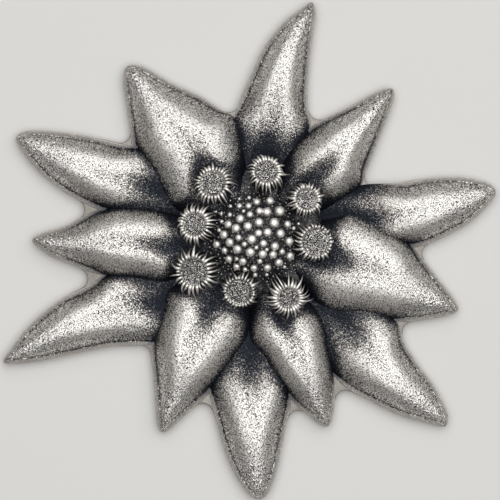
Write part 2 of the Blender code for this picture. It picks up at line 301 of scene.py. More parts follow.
def antique_silver():
    """Cast white metal, blackened all over and rubbed back. Each point carries how far it was
    rubbed, less the painted shade on the petals' roots and walls, the height of the fine wool there
    and how strongly that wool holds the black."""
    material = bpy.data.materials.new("antique_silver")
    material.use_nodes = True
    tree = material.node_tree
    shader = tree.nodes["Principled BSDF"]
    shader.inputs["Metallic"].default_value = 1.0
    rubbed_and_shaded = rubbed_back_and_shaded(tree)

    colour = tree.nodes.new("ShaderNodeValToRGB")
    black, polished = colour.color_ramp.elements
    black.position, black.color = TONES[0]
    polished.position, polished.color = TONES[-1]
    for where, tone in TONES[1:-1]:
        colour.color_ramp.elements.new(where).color = tone
    put(tree, rubbed_and_shaded, colour.inputs["Fac"])
    put(tree, colour.outputs["Color"], shader.inputs["Base Color"])

    rough = tree.nodes.new("ShaderNodeMapRange")
    rough.inputs["From Min"].default_value = 0.1
    rough.inputs["From Max"].default_value = 0.9
    rough.inputs["To Min"].default_value = BLACK_ROUGHNESS
    rough.inputs["To Max"].default_value = POLISHED_ROUGHNESS
    put(tree, rubbed_and_shaded, rough.inputs["Value"])
    put(tree, rough.outputs["Result"], shader.inputs["Roughness"])
    return material


SILVER = antique_silver()


def fasten(piece):
    """One casting, so each piece of it rides with the whole and stands for the same solid."""
    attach(piece, "root")
    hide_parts("casting")


def tube_faces(rings, sides):
    """The faces between rings of points, one above another, with the lowest and the top one shut."""
    faces = []
    for r in range(rings - 1):
        for i in range(sides):
            j = (i + 1) % sides
            faces.append((r * sides + i, r * sides + j, (r + 1) * sides + j, (r + 1) * sides + i))
    faces.append(tuple(range(sides))[::-1])
    faces.append(tuple(range((rings - 1) * sides, rings * sides)))
    return faces


def make_plate():
    outline = plate_outline()
    count = len(outline)
    towards = np.roll(outline, -1, axis=0) - np.roll(outline, 1, axis=0)
    inwards = np.stack([-towards[:, 1], towards[:, 0]], axis=1)
    inwards /= np.linalg.norm(inwards, axis=1)[:, None]
    rings = []
    for shrink, height in PLATE_EDGE:
        ring = outline + inwards * shrink
        rings.append(np.column_stack([ring, np.full(count, height)]))
    points = np.vstack(rings)
    plate = mesh_piece("plate", points, tube_faces(len(rings), count),
                       rub=np.full(len(points), PLATE_RUB), grain=np.full(len(points), 0.5),
                       hold=np.full(len(points), PLATE_HOLD))
    plate.data.materials.append(SILVER)
    return plate


fasten(make_plate())


# The petals
# Twelve solid cushions in two layers, cast with the plate. Each rises steeply from its flange, has
# a shallow groove between two soft ridges, and is covered in the fine curled strokes of cut wool.
FLANGE = 0.46
FLANGE_TOP = 1.0
UPPER_OVERLAP = 0.15
LOWER_OVERLAP = 0.6
PETAL_BOTTOM = 0.5
ROW_STEP = 0.085
CUSHION_COLUMNS = 92
RIM_SPAN_POINTS = 24
FLANGE_SHARES = (0.0, 0.1, 0.3, 0.55, 0.8)
FLANGE_ROUNDING = 0.12

# A cushion's height at its root, and how far along it is highest, as shares, in each layer
UPPER_RISE = (0.6, 0.46)
LOWER_RISE = (0.1, 0.62)
TIP_HEIGHT = 0.42
NOSE_START = 0.9
GROOVE_DEPTH = 0.2
GROOVE_WIDTH = 0.24
GROOVE_LENGTH = 0.85

# The powers that shape a cushion's cross-section: how steep its sides and how round its shoulders
SIDE_POWER = 2.3
SHOULDER_POWER = 0.75
CUSHION_SUNK = 0.05


def cushion_height(crest, t, v):
    """The height at share t from root to tip and v from -1 to 1 across."""
    root, peak = UPPER_RISE if crest == UPPER else LOWER_RISE
    along = np.where(t < peak, root + (1 - root) * smooth(t / peak),
                     1 - (1 - TIP_HEIGHT) * smooth((t - peak) / (1 - peak)))
    nose = np.clip(t - NOSE_START, 0, 1) / (1 - NOSE_START)
    along *= np.sqrt(np.clip(1 - nose ** 2, 0, 1))
    across = np.clip(1 - np.abs(v) ** SIDE_POWER, 0, 1) ** SHOULDER_POWER
    groove = np.exp(-(v / GROOVE_WIDTH) ** 2) * (1 - smooth(t / GROOVE_LENGTH))
    low = FLANGE_TOP - CUSHION_SUNK
    return low + (crest - low) * along * across * (1 - GROOVE_DEPTH * groove)


def petal_edges(crest, clear, left, right, tip):
    """The left and right edges of the cushion and of the flange round it, in rows from the root."""
    rim = petal_rim(left, right, tip)
    overlap = UPPER_OVERLAP if crest == UPPER else LOWER_OVERLAP
    away = np.linalg.norm(rim, axis=1)
    step = (FLANGE + overlap) * smooth((away - clear + 1.5) / 2) - overlap
    step[len(left) + 1] *= 0.5
    middle = RIM_SPAN_POINTS * (len(left) + 1)
    inner = curve_through(inset(rim, step), RIM_SPAN_POINTS)
    outer = curve_through(inset(rim, np.minimum(0.0, step - 0.02)), RIM_SPAN_POINTS)
    rows = int(np.linalg.norm(np.diff(inner[:middle], axis=0), axis=1).sum() / ROW_STEP)
    edges = []
    for path in (inner, outer):
        edges.append(evenly(path[:middle + 1], rows))
        edges.append(evenly(path[middle:][::-1], rows))
    return edges


def petal_surface(crest, *outline):
    """Rows of points across a petal, each row's share of the way from root to tip, and each
    column's place: -1 and 1 at the cushion's sides, -2 and 2 at the flange's."""
    inner_left, inner_right, outer_left, outer_right = petal_edges(crest, *outline)
    rows = len(inner_left)
    t = np.linspace(0, 1, rows)
    s = np.linspace(-1, 1, CUSHION_COLUMNS + 1)
    columns, heights, places = [], [], []

    def add_flange(share, outer, inner, side):
        columns.append(outer * (1 - share) + inner * share)
        heights.append(np.full(rows, FLANGE_TOP if share else FLANGE_TOP - FLANGE_ROUNDING))
        places.append(side * (2 - share))

    for share in FLANGE_SHARES:
        add_flange(share, outer_left, inner_left, -1)
    for v in 0.55 * s + 0.45 * np.sin(s * math.pi / 2):
        columns.append(inner_left * (1 - v) / 2 + inner_right * (1 + v) / 2)
        heights.append(cushion_height(crest, t, np.full(rows, v)))
        places.append(v)
    for share in FLANGE_SHARES[::-1]:
        add_flange(share, outer_right, inner_right, 1)
    surface = np.dstack([np.stack(columns, axis=1), np.stack(heights, axis=1)])
    return surface, t, np.array(places)


SURFACES = {name: petal_surface(*shape) for name, shape in PETALS.items()}

# How far each place stands out of its surroundings comes from a square map of the whole flower's
# heights, blurred over a near and a far distance
MAP_HALF = 28.0
MAP_CELLS = 400
NEAR_BLUR = 0.7
FAR_BLUR = 1.8

# The florets' places, how far the bracts of each reach, and the radius of its disc
FLORETS = (
    (-4.1, 5.4, 2.2, 1.3),
    (1.2, 6.55, 2.15, 1.15),
    (5.2, 3.85, 1.95, 1.1),
    (6.1, -0.4, 2.15, 1.42),
    (3.4, -5.95, 2.35, 1.1),
    (-1.45, -5.3, 1.95, 1.3),
    (-6.0, -3.35, 2.55, 1.42),
    (-5.9, 1.35, 2.2, 1.2),
)
FLORET_TOP = 5.0
MOUND_RADIUS = 4.5
MOUND_TOP = 4.7


def height_map():
    cells = np.zeros((MAP_CELLS, MAP_CELLS))
    for surface, t, v in SURFACES.values():
        column = ((surface[..., 0] / MAP_HALF + 1) * MAP_CELLS / 2).astype(int)
        row = ((surface[..., 1] / MAP_HALF + 1) * MAP_CELLS / 2).astype(int)
        np.maximum.at(cells, (row, column), surface[..., 2])
    line = (np.arange(MAP_CELLS) + 0.5) / MAP_CELLS * 2 * MAP_HALF - MAP_HALF
    x, y = np.meshgrid(line, line)
    for fx, fy, reach, disc in FLORETS:
        near = np.hypot(x - fx, y - fy) < reach * 0.8
        cells[near] = np.maximum(cells[near], FLORET_TOP)
    share = np.hypot(x, y) / MOUND_RADIUS
    return np.maximum(cells, np.where(share < 1, MOUND_TOP - 2 * share ** 2, 0))


def blurred(cells, radius):
    waves = np.fft.fftfreq(MAP_CELLS, 2 * MAP_HALF / MAP_CELLS)
    soften = np.exp(-2 * (math.pi * radius) ** 2 * (waves[:, None] ** 2 + waves[None] ** 2))
    return np.fft.ifft2(np.fft.fft2(cells) * soften).real


HEIGHTS = height_map()
NEAR, FAR = blurred(HEIGHTS, NEAR_BLUR), blurred(HEIGHTS, FAR_BLUR)


def relief_at(points):
    """How far points stand out of their surroundings, near and far, in millimetres."""
    column = (points[:, 0] / MAP_HALF + 1) * MAP_CELLS / 2 - 0.5
    row = (points[:, 1] / MAP_HALF + 1) * MAP_CELLS / 2 - 0.5
    c, r = np.floor(column).astype(int), np.floor(row).astype(int)
    fc, fr = column - c, row - r
    out = []
    for cells in (NEAR, FAR):
        mean = (cells[r, c] * (1 - fc) * (1 - fr) + cells[r, c + 1] * fc * (1 - fr)
                + cells[r + 1, c] * (1 - fc) * fr + cells[r + 1, c + 1] * fc * fr)
        out.append(points[:, 2] - mean)
    return out


def new_tree(name, *inputs):
    """A Geometry Nodes tree with a geometry input and output, and its other inputs by name."""
    tree = bpy.data.node_groups.new(name, "GeometryNodeTree")
    tree.interface.new_socket("Geometry", in_out="INPUT", socket_type="NodeSocketGeometry")
    tree.interface.new_socket("Geometry", in_out="OUTPUT", socket_type="NodeSocketGeometry")
    for label, kind in inputs:
        tree.interface.new_socket(label, in_out="INPUT", socket_type="NodeSocket" + kind)
    return tree, tree.nodes.new("NodeGroupInput"), tree.nodes.new("NodeGroupOutput")


def named(tree, name, kind="FLOAT"):
    node = tree.nodes.new("GeometryNodeInputNamedAttribute")
    node.data_type = kind
    node.inputs["Name"].default_value = name
    return node.outputs["Attribute"]


def finish_tree(tree, geometry, end):
    """Realizes what is left of instances and gives everything the silver."""
    real = tree.nodes.new("GeometryNodeRealizeInstances")
    paint = tree.nodes.new("GeometryNodeSetMaterial")
    paint.inputs["Material"].default_value = SILVER
    put(tree, geometry, real.inputs["Geometry"])
    put(tree, real.outputs["Geometry"], paint.inputs["Geometry"])
    put(tree, paint.outputs["Geometry"], end.inputs["Geometry"])


def combined(tree, x, y, z):
    node = tree.nodes.new("ShaderNodeCombineXYZ")
    for value, axis in ((x, "X"), (y, "Y"), (z, "Z")):
        put(tree, value, node.inputs[axis])
    return node.outputs["Vector"]


def seeded_noise(tree, place, seed, scale, distortion):
    noise = tree.nodes.new("ShaderNodeTexNoise")
    noise.noise_dimensions = "4D"
    noise.inputs["Detail"].default_value = 1.0
    noise.inputs["Distortion"].default_value = distortion
    put(tree, place, noise.inputs["Vector"])
    put(tree, scale, noise.inputs["Scale"])
    put(tree, seed, noise.inputs["W"])
    return noise.outputs["Fac"]


def mixed(tree, share, x, y):
    node = tree.nodes.new("ShaderNodeMix")
    put(tree, share, node.inputs["Factor"])
    put(tree, x, node.inputs["A"])
    put(tree, y, node.inputs["B"])
    return node.outputs["Result"]


def keep_grain(tree, geometry, value):
    """Leaves the wool's own height on each point, for the silver to read."""
    keep = tree.nodes.new("GeometryNodeStoreNamedAttribute")
    keep.data_type = "FLOAT"
    keep.domain = "POINT"
    keep.inputs["Name"].default_value = "grain"
    put(tree, geometry, keep.inputs["Geometry"])
    put(tree, value, keep.inputs["Value"])
    return keep.outputs["Geometry"]


def lifted(tree, geometry, lift):
    """The surface with each point moved by a lift, straight out of it."""
    normal = tree.nodes.new("GeometryNodeInputNormal")
    offset = tree.nodes.new("ShaderNodeVectorMath")
    offset.operation = "SCALE"
    put(tree, normal.outputs["Normal"], offset.inputs[0])
    put(tree, lift, offset.inputs["Scale"])
    move = tree.nodes.new("GeometryNodeSetPosition")
    put(tree, geometry, move.inputs["Geometry"])
    put(tree, offset.outputs["Vector"], move.inputs["Offset"])
    return move.outputs["Geometry"]


def wool_tree():
    """Presses curled strokes into a surface, drawn out across it near its edges."""
    tree, start, end = new_tree("wool", ("Curl size", "Float"), ("Tip curl size", "Float"),
                                ("Stroke width", "Float"), ("Stroke length", "Float"),
                                ("Depth", "Float"), ("Seed", "Float"))
    given = start.outputs
    position = tree.nodes.new("GeometryNodeInputPosition").outputs["Position"]
    curls = []
    for label in ("Curl size", "Tip curl size"):
        scale = maths(tree, "DIVIDE", 1.0, given[label])
        curls.append(seeded_noise(tree, position, given["Seed"], scale, 0.7))
    along = maths(tree, "DIVIDE", named(tree, "along"), given["Stroke width"])
    across = maths(tree, "DIVIDE", named(tree, "across"), given["Stroke length"])
    strokes = seeded_noise(tree, combined(tree, along, across, 0), given["Seed"], 1.0, 0.3)

    wool = mixed(tree, named(tree, "edge"), mixed(tree, named(tree, "tip"), *curls), strokes)
    spread = tree.nodes.new("ShaderNodeMapRange")
    spread.inputs["From Min"].default_value = 0.32
    spread.inputs["From Max"].default_value = 0.68
    put(tree, wool, spread.inputs["Value"])
    height = spread.outputs["Result"]
    lift = maths(tree, "MULTIPLY", maths(tree, "SUBTRACT", height, 0.5), given["Depth"])
    lift = maths(tree, "MULTIPLY", lift, named(tree, "wool"))
    finish_tree(tree, lifted(tree, keep_grain(tree, given["Geometry"], height), lift), end)
    return tree


def apply_tree(ob, tree, **inputs):
    """Runs a tree on an object with inputs by name, and leaves the result as its plain mesh."""
    modifier = ob.modifiers.new(tree.name, "NODES")
    modifier.node_group = tree
    for item in tree.interface.items_tree:
        key = item.name.lower().replace(" ", "_")
        if item.in_out == "INPUT" and key in inputs:
            modifier[item.identifier] = inputs[key]
    graph = bpy.context.evaluated_depsgraph_get()
    mesh = bpy.data.meshes.new_from_object(ob.evaluated_get(graph))
    mesh.name = ob.name
    ob.modifiers.clear()
    ob.data = mesh
    return ob


# The sizes of the petals' wool, in metres
PETAL_WOOL = {"curl_size": 0.00011, "tip_curl_size": 0.00016, "stroke_width": 0.00011,
              "stroke_length": 0.00045, "depth": 0.00008}

# How far the black patina and painted shade at a petal's root reach out and fade away, in millimetres:
# on an upper petal from the flower's middle, farther in the groove, and on a lower one from short of
# its clear part
UPPER_BLACK_AND_SHADE = 5.9
GROOVE_BLACK_AND_SHADE_BEYOND = 3.0
UPPER_FADE = 3.0
LOWER_BLACK_AND_SHADE_SHORT = 3.6
LOWER_FADE = 4.0
DEEPER = {"top": 0.3, "left": 0.7, "upper_right": 1.1, "right_upper": 1.5}

# How bright each part of a petal is rubbed, and how much of that the black patina and the painted shade
# on its root and walls take back
RUB = 0.55
CREST_RUB = 0.43
STANDING_RUB = 0.6
TIP_RUB = 0.1
DEEP_BLACK_AND_SHADE = 0.56
WALL_BLACK_AND_SHADE = 0.25
ROOT_WALL_BLACK_AND_SHADE = 0.2
GROOVE_BLACK = 0.42
FLANGE_RUB = 0.43
FLANGE_BLACK_AND_SHADE = 0.2
RIM_RUB = 0.3

# How strongly the wool holds the black, and how much more or less it does in each part
HOLD = 2.5
CREST_HOLD_LESS = 1.3
TIP_HOLD_MORE = 1.1
EDGE_HOLD_LESS = 0.3
DEEP_HOLD_LESS = 2.0
LEAST_HOLD = 0.8
MOST_HOLD = 4.0
FLANGE_HOLD = 0.16


def root_black_and_shade(name, crest, clear, top, fold):
    """How far each point lies in the black patina and painted shade at the petal's root, or in the
    patina below its surroundings.
    """
    near, far = relief_at(top)
    away = np.linalg.norm(top[:, :2], axis=1)
    if crest == UPPER:
        start, fade = UPPER_BLACK_AND_SHADE + GROOVE_BLACK_AND_SHADE_BEYOND * fold, UPPER_FADE
    else:
        start, fade = clear - LOWER_BLACK_AND_SHADE_SHORT, LOWER_FADE
    # Painted shade, together with the patina, darkening the root towards the flower's middle
    shade = 1 - smooth((away - start - DEEPER.get(name, 0)) / fade)
    return np.clip(0.82 * shade + np.clip(-0.9 * near - 0.45 * far - 0.06, 0, 1), 0, 1)


def petal_values(name, crest, clear, surface, t, v):
    """What each point of a petal's top carries for the silver and for the wool."""
    rows, columns = surface.shape[:2]
    top = surface.reshape(-1, 3)
    near = relief_at(top)[0]
    share_v = np.tile(np.abs(v), rows)
    share_t = np.repeat(t, columns)
    edge = smooth((share_v - 0.6) / 0.3)
    tip = smooth((share_t - 0.55) / 0.35)
    flange = smooth((share_v - 0.98) / 0.1)
    fold = np.exp(-(share_v / 0.38) ** 2)
    wall = smooth((share_v - 0.42) / 0.5)
    high = smooth((top[:, 2] - FLANGE_TOP) / (crest - FLANGE_TOP) * 1.1)
    # How deep a point lies in the dark: patina in the creases, patina and painted shade at the root
    deep = root_black_and_shade(name, crest, clear, top, fold)

    # How bright a point is rubbed, with painted shade taken off at the root and on the walls
    rub = RUB + CREST_RUB * high + STANDING_RUB * np.clip(near, -0.2, 0.25) - DEEP_BLACK_AND_SHADE * deep
    # The walls darken with black patina and with painted shade, most near the root
    rub -= WALL_BLACK_AND_SHADE * wall * (1 - smooth((share_t - 0.7) / 0.3))
    rub -= ROOT_WALL_BLACK_AND_SHADE * wall * (1 - smooth((share_t - 0.2) / 0.4))
    rub -= GROOVE_BLACK * fold * (1 - smooth((share_t - 0.35) / 0.45))
    rub += TIP_RUB * smooth((share_t - 0.7) / 0.2)
    flange_rub = FLANGE_RUB - FLANGE_BLACK_AND_SHADE * deep + RIM_RUB * (share_v > 1.85)
    rub = rub * (1 - flange) + flange * flange_rub

    hold = HOLD - CREST_HOLD_LESS * high * (1 - tip) * (1 - 0.5 * fold)
    hold += TIP_HOLD_MORE * tip - EDGE_HOLD_LESS * edge * (1 - tip)
    hold = np.clip(hold - DEEP_HOLD_LESS * deep, LEAST_HOLD, MOST_HOLD)
    hold = hold * (1 - flange) + FLANGE_HOLD * flange

    wool = (0.8 - 0.3 * high + 0.5 * tip) * (1 - 0.8 * flange)
    wool[share_v >= 2] = 0
    middle = surface[:, columns // 2]
    along = share_t * np.linalg.norm(middle[-1] - middle[0]) * MM
    across = np.linalg.norm(surface[..., :2] - middle[:, None, :2], axis=2).ravel() * MM
    across *= np.sign(np.tile(v, rows))
    return {"rub": rub, "hold": hold, "edge": edge, "wool": wool, "along": along,
            "across": across, "tip": tip}


def petal_faces(rows, columns):
    """The faces of a petal's top, of its sides and bottom, and of the end at its root."""
    count = rows * columns
    cell = (np.arange(rows - 1)[:, None] * columns + np.arange(columns - 1)[None]).ravel()
    faces = np.stack([cell + columns, cell + columns + 1, cell + 1, cell], axis=1).tolist()
    for r in range(rows - 1):
        a, b = count + r, count + r + 1
        c, d = count + rows + r, count + rows + r + 1
        first, last = r * columns, r * columns + columns - 1
        faces.append((a, b, first + columns, first))
        faces.append((last, last + columns, d, c))
        faces.append((b, a, c, d))
    faces.append((count, *range(columns), count + rows))
    return faces


def make_petal(name, number, crest, clear, surface, t, v):
    rows, columns = surface.shape[:2]
    low_left = surface[:, 0] * (1, 1, 0) + (0, 0, PETAL_BOTTOM)
    low_right = surface[:, -1] * (1, 1, 0) + (0, 0, PETAL_BOTTOM)
    points = np.vstack([surface.reshape(-1, 3), low_left, low_right])
    values = {}
    for key, numbers in petal_values(name, crest, clear, surface, t, v).items():
        values[key] = np.concatenate([numbers, np.zeros(2 * rows)])
    petal = mesh_piece(f"petal_{name}", points, petal_faces(rows, columns), **values)
    return apply_tree(petal, WOOL, **PETAL_WOOL, seed=float(number))


WOOL = wool_tree()
for number, (name, (surface, t, v)) in enumerate(SURFACES.items()):
    fasten(make_petal(name, number, *PETALS[name][:2], surface, t, v))


# The heart
# A dark low boss under the florets and, inside their ring, the mound that the beads stand on. They
# are part of the same casting, and the blackening stays in them because no cloth reaches so deep.
BOSS_PROFILE = [(7.0, 0.5), (6.9, 1.4), (6.2, 1.8), (5.4, 2.0), (4.9, 2.1)]
MOUND_FOOT = 2.2
MOUND_CROWN = MOUND_TOP - 0.3
HEART_RUB = 0.15
HEART_HOLD = 0.5
HEART_WOOL = {"curl_size": 0.00016, "tip_curl_size": 0.00016, "stroke_width": 0.0002,
              "stroke_length": 0.0002, "depth": 0.00008, "seed": 40.0}


def turned(profile, sides):
    """The points and faces of a shape turned about the upright axis, from its foot to its top."""
    angles = np.arange(sides) / sides * 2 * math.pi
    points = [(r * math.cos(a), r * math.sin(a), z) for r, z in profile for a in angles]
    return np.array(points), tube_faces(len(profile), sides)


def mound_point(share, lift=0):
    """The radius and height of the mound, at a share of the way from its middle to its edge."""
    height = MOUND_FOOT + lift + (MOUND_CROWN - MOUND_FOOT) * max(0, 1 - share ** 2)
    return (MOUND_RADIUS * share, height)


def make_heart():
    profile = BOSS_PROFILE + [mound_point(share) for share in np.linspace(1, 0.02, 30)]
    points, faces = turned(profile, 160)
    none = np.zeros(len(points))
    heart = mesh_piece("heart", points, faces, rub=none + HEART_RUB, hold=none + HEART_HOLD,
                       wool=np.where(points[:, 2] > 1.5, 1.4, 0.0), edge=none, along=none,
                       across=none, tip=none)
    return apply_tree(heart, WOOL, **HEART_WOOL)


fasten(make_heart())


# The florets
# Eight small flower heads in a ring, each a barrel that leans outwards with a pitted disc on top.
# Pointed bracts crowd round the disc, bright where they bend over its rim, and run out and down
# over the dark sides.
FLORET_FOOT = 1.5
FLORET_TALL = FLORET_TOP - 0.35 - FLORET_FOOT
FLORET_LEAN = 0.27
FLORET_WOOL = {"curl_size": 0.0001, "tip_curl_size": 0.0001, "stroke_width": 0.0002,
               "stroke_length": 0.0002, "depth": 0.00007}
BRACTS = 28
BRACT_HOLD = 0.1

# A bract from its root outwards: how far out, how high, half its width, and how thick its back is
BRACT_SPINE = (
    (-0.20, -0.16, 0.09, 0.02),
    (-0.13, 0.03, 0.13, 0.07),
    (0.00, 0.10, 0.17, 0.12),
    (0.16, 0.12, 0.18, 0.14),
    (0.34, 0.06, 0.16, 0.13),
    (0.54, -0.12, 0.13, 0.10),
    (0.72, -0.40, 0.09, 0.08),
    (0.88, -0.80, 0.05, 0.05),
    (1.00, -1.40, 0.01, 0.01),
)

# Its cross-section: sideways and upwards, how bright it is there at the root, and how much of that
# is lost by the point
BRACT_ARCH = (
    (-1, -0.7, 0.05, 0),
    (-0.8, 0.5, 0.85, 0.4),
    (-0.4, 0.95, 1.15, 0.3),
    (0.4, 0.95, 1.15, 0.3),
    (0.8, 0.5, 0.85, 0.4),
    (1, -0.7, 0.05, 0),
)


def make_bract():
    """One bract, root at the disc's rim, that runs out along X, with a rounded back."""
    points, rub = [], []
    for k, (x, z, half, rise) in enumerate(BRACT_SPINE):
        share = k / (len(BRACT_SPINE) - 1)
        for side, up, bright, loss in BRACT_ARCH:
            points.append((x, side * half, z + up * rise))
            rub.append(bright - loss * share)
    faces = [face[::-1] for face in tube_faces(len(BRACT_SPINE), len(BRACT_ARCH))]
    return mesh_piece("bract", points, faces, rub=rub, grain=np.full(len(points), 0.5),
                      hold=np.full(len(points), BRACT_HOLD))


def picked(tree, low, high, seed):
    """A random number between low and high for each point."""
    pick = tree.nodes.new("FunctionNodeRandomValue")
    pick.data_type = "FLOAT"
    put(tree, low, pick.inputs[2])
    put(tree, high, pick.inputs[3])
    put(tree, seed, pick.inputs["Seed"])
    return pick.outputs[1]


def set_on(tree, points, shape, scale, turn=None):
    """A copy of another object's shape on every point."""
    copied = tree.nodes.new("GeometryNodeObjectInfo")
    put(tree, shape, copied.inputs["Object"])
    place = tree.nodes.new("GeometryNodeInstanceOnPoints")
    put(tree, points, place.inputs["Points"])
    put(tree, copied.outputs["Geometry"], place.inputs["Instance"])
    put(tree, scale, place.inputs["Scale"])
    if turn is not None:
        put(tree, turn, place.inputs["Rotation"])
    return place.outputs["Instances"]


def bract_tree():
    """Sets a ring of bracts round a disc, no two quite alike, and keeps what they surround."""
    tree, start, end = new_tree("bracts", ("Bract", "Object"), ("Count", "Int"), ("Radius", "Float"),
                                ("Height", "Float"), ("Length", "Float"), ("Seed", "Int"))
    given = start.outputs

    def vary(low, high, shift):
        return picked(tree, low, high, maths(tree, "ADD", given["Seed"], shift))

    ring = tree.nodes.new("GeometryNodeMeshCircle")
    put(tree, given["Count"], ring.inputs["Vertices"])
    put(tree, given["Radius"], ring.inputs["Radius"])
    lift = tree.nodes.new("GeometryNodeTransform")
    put(tree, ring.outputs["Mesh"], lift.inputs["Geometry"])
    put(tree, combined(tree, 0, 0, given["Height"]), lift.inputs["Translation"])
    index = tree.nodes.new("GeometryNodeInputIndex").outputs["Index"]
    turn = maths(tree, "DIVIDE", index, given["Count"])
    turn = maths(tree, "MULTIPLY", turn, 2 * math.pi)
    turn = maths(tree, "ADD", turn, vary(-0.16, 0.16, 0))
    facing = combined(tree, vary(-0.35, 0.35, 1), vary(-0.2, 0.16, 2), turn)
    length = maths(tree, "MULTIPLY", given["Length"], vary(0.6, 1.15, 3))
    size = combined(tree, length, vary(0.62, 1.2, 4), vary(0.85, 1.1, 5))
    bracts = set_on(tree, lift.outputs["Geometry"], given["Bract"], size, facing)
    both = tree.nodes.new("GeometryNodeJoinGeometry")
    put(tree, given["Geometry"], both.inputs["Geometry"])
    put(tree, bracts, both.inputs["Geometry"])
    finish_tree(tree, both.outputs["Geometry"], end)
    return tree


def floret_profile(reach, disc):
    """A barrel that narrows to its disc, and the disc, sunk and gently domed inside its rim."""
    profile = [(reach * 0.62, 0), (reach * 0.7, FLORET_TALL * 0.3),
               (reach * 0.72, FLORET_TALL * 0.6), (disc + 0.28, FLORET_TALL * 0.88),
               (disc + 0.12, FLORET_TALL * 0.98), (disc + 0.02, FLORET_TALL)]
    for share in np.linspace(0.97, 0.02, 22):
        dome = 0.1 * (1 - share ** 2) ** 0.5
        rim = 0.12 * max(0, (share - 0.85) / 0.12)
        profile.append((disc * share, FLORET_TALL - 0.16 + dome + rim))
    return profile


def make_floret(name, number, x, y, reach, disc):
    points, faces = turned(floret_profile(reach, disc), 96)
    far_out = np.hypot(points[:, 0], points[:, 1])
    on_disc = (points[:, 2] > FLORET_TALL * 0.9) & (far_out < disc)
    on_rim = np.abs(far_out - disc) < 0.08
    none = np.zeros(len(points))
    floret = mesh_piece(f"floret_{name}", points, faces,
                        rub=np.where(on_disc, 0.22, 0.08) + 0.3 * on_rim,
                        hold=np.where(on_disc, 1.4, 0.3), wool=np.where(on_disc, 1.6, 0.3),
                        edge=none, along=none, across=none, tip=none)
    apply_tree(floret, WOOL, **FLORET_WOOL, seed=20.0 + number)
    apply_tree(floret, BRACTS_TREE, bract=BRACT, count=BRACTS, radius=(disc + 0.04) * MM,
               height=FLORET_TALL * MM, length=reach - disc, seed=number)
    out = Vector((x, y, 0)).normalized()
    lean = Matrix.Rotation(FLORET_LEAN, 4, Vector((-out.y, out.x, 0)))
    top = lean @ Vector((0, 0, FLORET_TALL))
    place = Matrix.Translation(Vector((x - top.x, y - top.y, FLORET_FOOT)) * MM)
    floret.data.transform(place @ lean)
    return floret


BRACT = make_bract()
BRACTS_TREE = bract_tree()
for number, (x, y, reach, disc) in enumerate(FLORETS):
    fasten(make_floret("abcdefgh"[number], number, x, y, reach, disc))
bpy.data.objects.remove(BRACT)


# The beads
# About sixty drop-shaped balls on thin stalks crowd over the mound. They are the most rubbed metal
# of all, and the outer ones lean away from the middle. The list gives their places and radii.
BEADS = (
    (-0.49, 3.98, .19), (-1.46, 3.86, .15), (1.57, 3.68, .39), (0.26, 3.56, .34), (-2.34, 3.14, .17),
    (-1.46, 3.16, .27), (-0.55, 3.16, .29), (0.54, 2.65, .34), (1.26, 2.57, .42), (2.54, 2.65, .48),
    (-1.04, 2.65, .17), (-3.24, 2.41, .16), (-3.77, 2.59, .12), (-2.40, 2.29, .22), (-0.41, 2.31, .30),
    (-1.37, 1.90, .39), (-2.55, 1.35, .36), (-3.20, 1.62, .18), (0.48, 1.52, .40), (1.99, 1.48, .46),
    (3.32, 1.35, .34), (4.41, 1.40, .15), (-1.77, 0.95, .40), (-0.61, 1.14, .40), (-3.46, 0.77, .19),
    (0.44, 0.47, .34), (1.32, 0.55, .39), (2.60, 0.43, .41), (3.93, 0.95, .18), (-2.98, 0.32, .39),
    (-1.52, 0.02, .29), (-0.23, -0.14, .44), (-2.40, -0.44, .39), (-0.95, -0.62, .24),
    (0.92, -0.54, .34), (3.48, -0.35, .41), (-3.70, -0.65, .36), (0.23, -0.95, .19), (2.05, -0.83, .40),
    (1.26, -1.17, .17), (-1.64, -1.11, .41), (-2.92, -1.25, .29), (-0.37, -1.41, .44),
    (2.78, -1.37, .27), (0.84, -1.59, .40), (1.87, -1.65, .36), (3.57, -1.80, .40), (-2.49, -2.10, .34),
    (-1.73, -2.08, .17), (-1.10, -2.32, .36), (0.57, -2.32, .24), (2.45, -2.44, .39),
    (-1.73, -2.86, .32), (-0.88, -3.14, .22), (-0.01, -2.98, .34), (1.32, -2.95, .36),
    (3.02, -2.89, .17), (0.11, -3.67, .22), (1.26, -3.65, .17),
)
# The height of the middle bead's top, how much lower one at the mound's edge stands, and how far
# they lean out for each millimetre from the middle
BEAD_TOP = 5.73
BEAD_DROP = 1.3
BEAD_SPREAD = 0.17
BEAD_SIZE = 1.1

# One bead's stalk, from its foot up, and how bright the whole is rubbed at four heights
STALK_PROFILE = [(0.22, -4.6), (0.22, -2.6), (0.3, -1.9), (0.52, -1.25)]
DROP_HEIGHTS = (-2.6, -1.2, -0.3, 0.4)
DROP_RUB = (0.15, 0.75, 1.0, 1.1)
DROP_HOLD = 0.06

# How far the specks' ground lies above the mound, how densely they are tried, how far apart they
# stay in metres, and their least and largest radius in millimetres
SPECK_GROUND = 0.12
SPECKS_PER_SQUARE_METRE = 9e6
SPECK_SIZES = {"spacing": 0.00034, "smallest": 0.05, "largest": 0.11, "seed": 3}


def make_drop(rows, sides):
    """A ball of radius one on a stalk, that runs down into the mound."""
    profile = list(STALK_PROFILE)
    for turn in np.linspace(-42, 86, rows):
        profile.append((math.cos(math.radians(turn)) ** 0.7, math.sin(math.radians(turn)) * 0.85))
    points, faces = turned(profile, sides)
    return mesh_piece("drop", points, faces, grain=np.full(len(points), 0.5),
                      hold=np.full(len(points), DROP_HOLD),
                      rub=np.interp(points[:, 2], DROP_HEIGHTS, DROP_RUB))


def bead_tree():
    """Sets a drop on every point, scaled by its radius and turned by its lean."""
    tree, start, end = new_tree("beads", ("Drop", "Object"), ("Size", "Float"))
    given = start.outputs
    scale = maths(tree, "MULTIPLY", named(tree, "radius"), given["Size"])
    lean = named(tree, "lean", "FLOAT_VECTOR")
    finish_tree(tree, set_on(tree, given["Geometry"], given["Drop"], scale, lean), end)
    return tree


